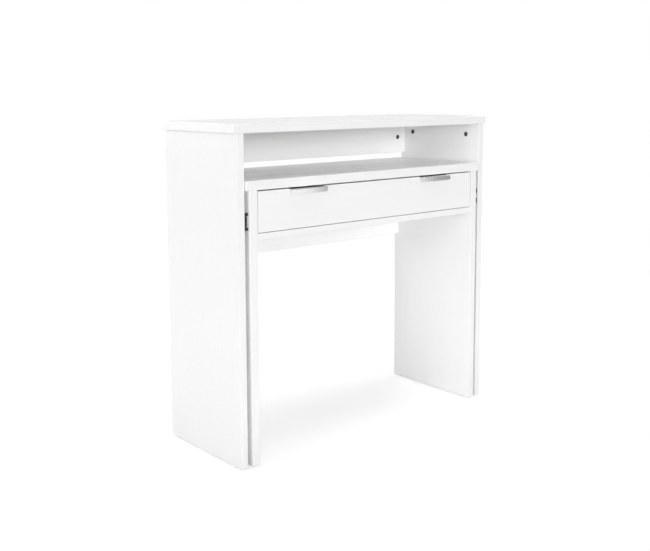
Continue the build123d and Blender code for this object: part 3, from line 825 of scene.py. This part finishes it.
@dataclass(frozen=True)
class Beech(Finish):
    """Turned beech, with short dark flecks along the grain."""

    colour: Rgb = (0.62, 0.43, 0.26)
    ring: Rgb = (0.50, 0.32, 0.17)
    fleck: Rgb = (0.30, 0.17, 0.08)
    roughness: float = 0.62
    ring_roughness: float = 0.15
    ring_size: float = 2.5 * MM
    ring_stretch: Stretch = (1.0, 4.0, 0.6)
    ring_range: Range = (0.35, 0.65)
    ring_depth: float = 45 * MICRON
    fleck_size: float = 0.7 * MM
    fleck_stretch: Stretch = (1.0, 3.0, 1.0)
    fleck_range: Range = (0.62, 0.72)
    fleck_strength: float = 0.6

    def paint(self, shader: Shader, box: Box) -> None:
        """Builds the growth rings and the flecks.

        Args:
            shader: The material's empty tree.
            box: The box of the dowels; not used.
        """
        place = shader.position()
        rings = shader.noise(place * self.ring_stretch, self.ring_size, detail=3)
        specks = shader.noise(place * self.fleck_stretch, self.fleck_size)
        flecks = shader.rise(specks, *self.fleck_range)
        wood = shader.blend(shader.rise(rings, *self.ring_range), self.colour, self.ring)
        shader.surface(
            Base_Color=shader.blend(flecks * self.fleck_strength, wood, self.fleck),
            Roughness=self.roughness + rings * self.ring_roughness,
            Normal=shader.bump(rings, self.ring_depth),
        )


class Slot(Enum):
    """The record's material slots, each with the finish that it gets."""

    WHITE_BOARD = ("white_board", WhiteMelamine())
    CAM_ZINC = ("cam_zinc", DarkCast())
    FIXING_STEEL = (
        "fixing_steel",
        RolledSteel(roughness=0.24, mark_length=2 * MM, bloom_size=4 * MM),
    )
    DOWEL_BEECH = ("dowel_beech", Beech())
    GLIDE_PLASTIC = (
        "glide_plastic",
        Moulded(colour=(0.70, 0.70, 0.68), shade=(0.64, 0.64, 0.62), roughness=0.5, glow=0.15),
    )
    SLIDE_STEEL = ("slide_steel", RolledSteel())
    CAGE_STEEL = (
        "cage_steel",
        RolledSteel(colour=(0.56, 0.57, 0.58), dull=(0.42, 0.425, 0.43), roughness=0.33),
    )
    BALL_STEEL = ("ball_steel", GroundSteel())
    CAP_PLASTIC = (
        "cap_plastic",
        Moulded(colour=(0.012, 0.012, 0.013), shade=(0.02, 0.02, 0.021), roughness=0.36),
    )
    RUNNER_ENAMEL = ("runner_enamel", WhiteEnamel())
    ROLLER_NYLON = (
        "roller_nylon",
        Moulded(colour=(0.80, 0.80, 0.76), shade=(0.75, 0.75, 0.71), roughness=0.4, glow=0.25),
    )
    PULL_METAL = ("pull_metal", BrushedSatin())

    def __init__(self, slot: str, finish: Finish) -> None:
        """Keeps the slot's name and its finish."""
        self.slot = slot
        self.finish = finish


BOX_BOARD = WhiteMelamine(colour=(0.86, 0.86, 0.855), shade=(0.845, 0.845, 0.84), roughness=0.46)
BOX_BOTTOM = LacqueredFibreboard()


# ---------------- sub-assemblies
@dataclass
class Assembly(ABC):
    """Nodes of the frame that are finished together."""

    nodes: dict[str, bpy.types.Object]
    fixings: "Fixings"

    @abstractmethod
    def build(self) -> None:
        """Makes the assembly's own pieces and dresses the frame's nodes."""

    def dress(self, slot: Slot, *names: str, finish: Finish | None = None) -> None:
        """Gives nodes of the frame a finish, each fitted to its own box.

        Args:
            slot: The material slot.
            *names: The nodes.
            finish: Another finish than the slot's usual one.
        """
        for name in names:
            material = (finish or slot.finish).on(f"{name}_finish", Box.of(name))
            node = self.nodes[name]
            node.data.materials.clear()
            node.data.materials.append(material)
            LOG.info("%s: %s", name, slot.slot)

    def stand_for(self, piece: bpy.types.Object, node: str, body: str, slot: Slot) -> None:
        """Puts a made piece in the place of a node.

        Args:
            piece: The finished piece.
            node: The node that it stands for.
            body: The body that both ride on.
            slot: The slot that the finish comes from; not used.
        """
        smooth_but_crisp(piece.data)
        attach(piece, body)
        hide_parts(node)
        LOG.info("%s stands for %s, %d faces", piece.name, node, len(piece.data.polygons))


def smooth_but_crisp(mesh: bpy.types.Mesh) -> None:
    """Shades a mesh smooth, with its edges sharper than CRISP_ANGLE kept crisp."""
    mesh.shade_smooth()
    mesh.set_sharp_from_angle(angle=CRISP_ANGLE)


@dataclass(frozen=True)
class CrossScrew:
    """A countersunk chipboard screw with a cross recess and a rolled thread."""

    head_radius: float = 3.4 * MM
    thread_radius: float = 2.0 * MM
    core_radius: float = 1.35 * MM
    pitch: float = 1.6 * MM
    recess_span: float = 3.9 * MM
    recess_width: float = 0.95 * MM
    recess_depth: float = 1.15 * MM
    tip: float = 2.4 * MM
    point_share: float = 0.08
    shank_start_share: float = 0.9
    bare_tip_share: float = 0.7
    head_sides: int = 24
    shank_sides: int = 12
    steps_each_turn: int = 12
    ridge_sides: int = 4

    def tree(self) -> GeometryTree:
        """The screw's tree.

        Returns:
            A tree that puts a screw's head at each place and its tip along the heading.
        """
        tree = GeometryTree("cross_screw")
        head = tree.size("Head Radius", self.head_radius)
        thread = tree.size("Thread Radius", self.thread_radius)
        core = tree.size("Core Radius", self.core_radius)
        length = tree.size("Length")
        pitch = tree.size("Pitch", self.pitch)
        span = tree.size("Recess Span", self.recess_span)
        width = tree.size("Recess Width", self.recess_width)
        recess = tree.size("Recess Depth", self.recess_depth)
        tip = tree.size("Tip", self.tip)

        sink = head - thread
        slots = []
        for x, y in ((span, width), (width, span)):
            size = tree.add("ShaderNodeCombineXYZ", values={"X": x, "Y": y, "Z": recess * 2})
            slots.append(tree.add("GeometryNodeMeshCube", values={"Size": size}))
        blank = tree.cone(self.head_sides, head, thread, 0.0, sink)
        settings = {"operation": "DIFFERENCE", "solver": "EXACT"}
        cap = tree.add("GeometryNodeMeshBoolean", settings, {"Mesh 1": blank, "Mesh 2": slots})

        start = sink * self.shank_start_share
        shank = tree.cylinder(self.shank_sides, core, start, length - tip - start)
        point = tree.cone(self.shank_sides, core, core * self.point_share, length - tip, tip)
        rise = length - tip * self.bare_tip_share - sink
        middle = (thread + core) * 0.5
        turned = {
            "Resolution": self.steps_each_turn,
            "Rotations": rise * tree.maths("DIVIDE", 1.0, pitch),
            "Start Radius": middle,
            "End Radius": middle,
            "Height": rise,
        }
        spiral = tree.add("GeometryNodeCurveSpiral", values=turned)
        section = {"Resolution": self.ridge_sides, "Radius": (thread - core) * 0.5}
        ridge = tree.add("GeometryNodeCurvePrimitiveCircle", values=section)
        swept = {"Curve": spiral, "Profile Curve": ridge, "Fill Caps": True}
        helix = tree.moved(tree.add("GeometryNodeCurveToMesh", values=swept), sink)
        tree.set_out(tree.joined(cap, shank, point, helix))
        return tree


@dataclass(frozen=True)
class FlutedDowel:
    """A fluted dowel with chamfered ends."""

    radius: float = 4.0 * MM
    flute_depth: float = 0.25 * MM
    flutes: int = 22
    chamfer: float = 1.2 * MM
    end_scale: float = 0.8

    def tree(self) -> GeometryTree:
        """The dowel's tree, a star drawn out along a line of four points that narrows at both ends.

        Returns:
            A tree that puts a dowel's end at each place and the rest along the heading.
        """
        tree = GeometryTree("fluted_dowel")
        radius = tree.size("Radius", self.radius)
        depth = tree.size("Flute Depth", self.flute_depth)
        flutes = tree.size("Flutes", self.flutes, "NodeSocketInt")
        chamfer = tree.size("Chamfer", self.chamfer)
        length = tree.size("Length")

        line = tree.add("GeometryNodeCurvePrimitiveLine")
        line = tree.add("GeometryNodeSubdivideCurve", values={"Curve": line, "Cuts": 2})
        from_middle = tree.add("GeometryNodeInputIndex") - 1.5
        rear_half = tree.maths("GREATER_THAN", from_middle, 0.0)
        inner = tree.maths("LESS_THAN", tree.maths("ABSOLUTE", from_middle), 1.0)
        height = rear_half * length + inner * chamfer * (1 - rear_half * 2)
        place = tree.add("ShaderNodeCombineXYZ", values={"Z": height})
        path = tree.add("GeometryNodeSetPosition", values={"Geometry": line, "Position": place})
        fluted = {
            "Points": flutes,
            "Inner Radius": radius - depth,
            "Outer Radius": radius,
            "Twist": 0.0,
        }
        star = tree.add("GeometryNodeCurveStar", values=fluted)
        scale = self.end_scale + inner * (1 - self.end_scale)
        swept = {"Curve": path, "Profile Curve": star, "Fill Caps": True, "Scale": scale}
        tree.set_out(tree.add("GeometryNodeCurveToMesh", values=swept))
        return tree


@dataclass
class Fixings:
    """The screws and dowels that are made anew, each by one tree that is built once."""

    screw: CrossScrew = field(default_factory=CrossScrew)
    dowel: FlutedDowel = field(default_factory=FlutedDowel)

    def __post_init__(self) -> None:
        """Builds both trees."""
        self.screw_tree = self.screw.tree()
        self.dowel_tree = self.dowel.tree()

    def screws(self, assembly: Assembly, node: str, body: str) -> None:
        """Makes a node's screws anew, on the body that they ride on."""
        self._renew(assembly, node, body, Slot.FIXING_STEEL, self.screw_tree, "threaded")

    def dowels(self, assembly: Assembly, node: str, body: str) -> None:
        """Makes a node's dowels anew, on the body that they ride on."""
        self._renew(assembly, node, body, Slot.DOWEL_BEECH, self.dowel_tree, "fluted")

    @staticmethod
    def _renew(
        assembly: Assembly, node: str, body: str, slot: Slot, tree: GeometryTree, look: str
    ) -> None:
        """Makes a node's plain fixings anew.

        Args:
            assembly: The assembly that they belong to.
            node: The node of plain fixings.
            body: The body that they ride on.
            slot: The slot that their finish comes from.
            tree: The tree that makes them.
            look: A word for the new piece's name.
        """
        places = [driven_place(solid) for solid in separate_solids(assembly.nodes[node])]
        finish = slot.finish.on(f"{node}_finish", Box.of(node))
        assembly.stand_for(tree.run(f"{node}_{look}", places, finish), node, body, slot)


@dataclass
class BoardFrame(Assembly):
    """Boards on glides, held by dowels, cam locks and bolts."""

    body: str
    boards: tuple[str, ...]

    def build(self) -> None:
        """Faces the boards, finishes their fittings and makes their dowels."""
        self.dress(Slot.WHITE_BOARD, *self.boards)
        self.dress(Slot.CAM_ZINC, f"{self.body}_cam_locks")
        self.dress(Slot.FIXING_STEEL, f"{self.body}_cam_bolts")
        self.dress(Slot.GLIDE_PLASTIC, f"{self.body}_glides")
        self.fixings.dowels(self, f"{self.body}_dowels", self.body)


@dataclass
class Carcass(BoardFrame):
    """The outer table: top, two sides and the rail under the top's rear edge."""

    body: str = "carcass"
    boards: tuple[str, ...] = (
        "top_panel",
        "left_side_panel",
        "right_side_panel",
        "upper_back_rail",
    )


@dataclass
class PullOutDesk(BoardFrame):
    """The worktop on two legs, with the shelf under the drawer and the rail behind it."""

    body: str = "desk"
    boards: tuple[str, ...] = (
        "worktop",
        "left_leg_panel",
        "right_leg_panel",
        "drawer_shelf",
        "desk_back_rail",
    )


@dataclass
class BallSlides(Assembly):
    """The telescopic slides that carry the desk in the carcass."""

    def build(self) -> None:
        """Finishes the members, cages, balls and caps, and makes the screws."""
        for side in ("left", "right"):
            for member in ("cabinet", "middle", "desk"):
                self.dress(Slot.SLIDE_STEEL, f"{side}_slide_{member}_member")
        self.dress(Slot.CAGE_STEEL, "outer_ball_cages", "inner_ball_cages")
        self.dress(Slot.BALL_STEEL, "outer_balls", "inner_balls")
        self.dress(Slot.CAP_PLASTIC, "middle_member_end_caps")
        self.fixings.screws(self, "cabinet_member_screws", "carcass")
        self.fixings.screws(self, "desk_member_screws", "desk")


@dataclass
class RollerRunners(Assembly):
    """The enamelled roller runners that carry the drawer in the desk."""

    def build(self) -> None:
        """Finishes the profiles and rollers, and makes the screws."""
        for side in ("left", "right"):
            for carrier in ("leg", "drawer"):
                self.dress(Slot.RUNNER_ENAMEL, f"{side}_runner_{carrier}_profile")
            self.dress(Slot.ROLLER_NYLON, f"{side}_front_roller", f"{side}_rear_roller")
        self.fixings.screws(self, "leg_profile_screws", "desk")
        self.fixings.screws(self, "drawer_profile_screws", "drawer")


@dataclass
class Drawer(Assembly):
    """The wide drawer with its two edge pulls."""

    body: str = "drawer"

    def build(self) -> None:
        """Faces the box, lays the hardboard bottom, brushes the pulls and makes the screws."""
        self.dress(Slot.WHITE_BOARD, "drawer_front")
        sides = ("drawer_left_side", "drawer_right_side", "drawer_back")
        self.dress(Slot.WHITE_BOARD, *sides, finish=BOX_BOARD)
        self.dress(Slot.WHITE_BOARD, "drawer_bottom", finish=BOX_BOTTOM)
        self.dress(Slot.CAM_ZINC, "drawer_cam_locks")
        self.dress(Slot.FIXING_STEEL, "drawer_cam_bolts")
        self.dress(Slot.PULL_METAL, "left_edge_pull", "right_edge_pull")
        for node in ("drawer_back_screws", "drawer_bottom_screws", "edge_pull_screws"):
            self.fixings.screws(self, node, self.body)


# ---------------- floor, light and camera
@dataclass(frozen=True)
class SoftLight:
    """A wide soft light so far away that it falls evenly.

    A level of 1 lights a surface that faces it as brightly as its colour is written. The bearing
    goes from the front to the left, and it, the height and the spread are in degrees.
    """

    name: str
    level: float
    bearing: float
    height: float
    spread: float

    def build(self) -> None:
        """Hangs the light."""
        lamp = bpy.data.lights.new(self.name, "SUN")
        lamp.energy = self.level * math.pi
        lamp.angle = math.radians(self.spread)
        light = bpy.data.objects.new(self.name, lamp)
        tilt = Matrix.Rotation(math.radians(90 - self.height), 3, "X")
        turn = Matrix.Rotation(math.radians(-self.bearing), 3, "Z")
        light.rotation_euler = (turn @ tilt).to_euler()
        bpy.context.scene.collection.objects.link(light)


@dataclass(frozen=True)
class Studio:
    """A pale floor that keeps the shadow, under an even sky and wide soft lights."""

    floor_radius: float = 2.6
    floor_sides: int = 96
    floor_colour: Rgb = (0.66, 0.66, 0.66)
    white: float = 2.85
    shadow_depth: float = 0.80
    lights: tuple[SoftLight, ...] = (
        SoftLight("front_light", level=0.57, bearing=19, height=5, spread=18),
        SoftLight("high_front_light", level=0.11, bearing=30, height=35, spread=30),
        SoftLight("left_light", level=0.39, bearing=74, height=5, spread=32),
        SoftLight("right_light", level=0.60, bearing=-96, height=14, spread=52),
        SoftLight("rear_left_light", level=0.37, bearing=146, height=26, spread=60),
        SoftLight("rear_light", level=0.28, bearing=182, height=14, spread=36),
        SoftLight("overhead_light", level=0.37, bearing=0, height=84, spread=25),
    )
    flag_near: tuple[float, float] = (math.radians(38), math.radians(47))
    flag_far: tuple[float, float] = (math.radians(75), math.radians(95))
    flag_depth: float = 0.68
    rear_depth: float = 0.20

    def build(self) -> None:
        """Lays the floor, lights the sky and hangs the lights."""
        self._floor()
        self._sky()
        for light in self.lights:
            light.build()

    def _floor(self) -> None:
        """Lays the round floor, lifted to white for the camera, down to the shadow's depth."""
        mesh = bpy.data.meshes.new("floor")
        sheet = bmesh.new()
        outline = {"segments": self.floor_sides, "radius": self.floor_radius}
        bmesh.ops.create_circle(sheet, cap_ends=True, **outline)
        sheet.to_mesh(mesh)
        sheet.free()
        floor = bpy.data.objects.new("floor", mesh)
        bpy.context.scene.collection.objects.link(floor)
        material = bpy.data.materials.new("floor_paint")
        material.use_nodes = True
        shader = Shader(material.node_tree)
        paint = shader.add("ShaderNodeBsdfDiffuse", values={"Color": self.floor_colour})
        white = shader.add("ShaderNodeEmission", values={"Color": WHITE, "Strength": self.white})
        lifted = shader.met_by(Ray.CAMERA) * (1 - self.shadow_depth)
        shader.end(shader.add("ShaderNodeMixShader", values={0: lifted, 1: paint, 2: white}))
        mesh.materials.append(material)

    def _sky(self) -> None:
        """Makes a world that is seen as white, with a dark flag and a dim rear for gloss alone."""
        world = bpy.data.worlds.new("sky")
        world.use_nodes = True
        bpy.context.scene.world = world
        shader = Shader(world.node_tree)
        direction = shader.add("ShaderNodeTexCoord", output="Generated")
        x, y, _ = shader.axes(direction)
        bearing = shader.maths("ARCTAN2", x, 0 - y)
        rear = shader.rise(shader.maths("ABSOLUTE", bearing), *self.flag_far)
        flag = shader.rise(bearing, *self.flag_near) * (1 - rear)
        camera, gloss, glass = (shader.met_by(ray) for ray in Ray)
        seen = shader.maths("MINIMUM", camera + gloss + glass, 1.0)
        dimmed = flag * self.flag_depth + rear * self.rear_depth
        strength = seen - dimmed * gloss
        sky = shader.add("ShaderNodeBackground", values={"Color": WHITE, "Strength": strength})
        shader.end(sky, "ShaderNodeOutputWorld")


@dataclass(frozen=True)
class Viewpoint:
    """The camera's place and aim, and the picture that it makes."""

    place: Vector = Vector((-1.8101, -2.0881, 0.9873))
    bearing: float = math.radians(40.23)
    pitch: float = math.radians(-6.80)
    roll: float = math.radians(-0.22)
    focal_pixels: float = 936.4
    picture_width: float = 650.0
    picture_height: float = 551.0
    horizon_row: float = 200.0
    sensor_width: float = 36.0

    def build(self) -> None:
        """Sets the camera up and makes it the scene's."""
        lens = bpy.data.cameras.new("camera")
        lens.sensor_fit = "HORIZONTAL"
        lens.sensor_width = self.sensor_width
        lens.lens = self.focal_pixels * self.sensor_width / self.picture_width
        lens.shift_y = (self.horizon_row - self.picture_height / 2) / self.picture_width
        camera = bpy.data.objects.new("camera", lens)
        level = math.radians(90)
        turn = Matrix.Rotation(-self.bearing, 4, "Z") @ Matrix.Rotation(level + self.pitch, 4, "X")
        rolled = turn @ Matrix.Rotation(self.roll, 4, "Z")
        camera.matrix_world = Matrix.Translation(self.place) @ rolled
        bpy.context.scene.collection.objects.link(camera)
        bpy.context.scene.camera = camera


def main() -> None:
    """Builds the assemblies on the frame, and sets floor, light, camera and the Standard view."""
    logging.basicConfig(level=logging.INFO, format="%(name)s: %(message)s")
    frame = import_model()
    fixings = Fixings()
    for assembly in (Carcass, PullOutDesk, BallSlides, RollerRunners, Drawer):
        assembly(frame["nodes"], fixings).build()
    Studio().build()
    Viewpoint().build()
    scene = bpy.context.scene
    scene.view_settings.view_transform = "Standard"


if __name__ == "__main__":
    main()
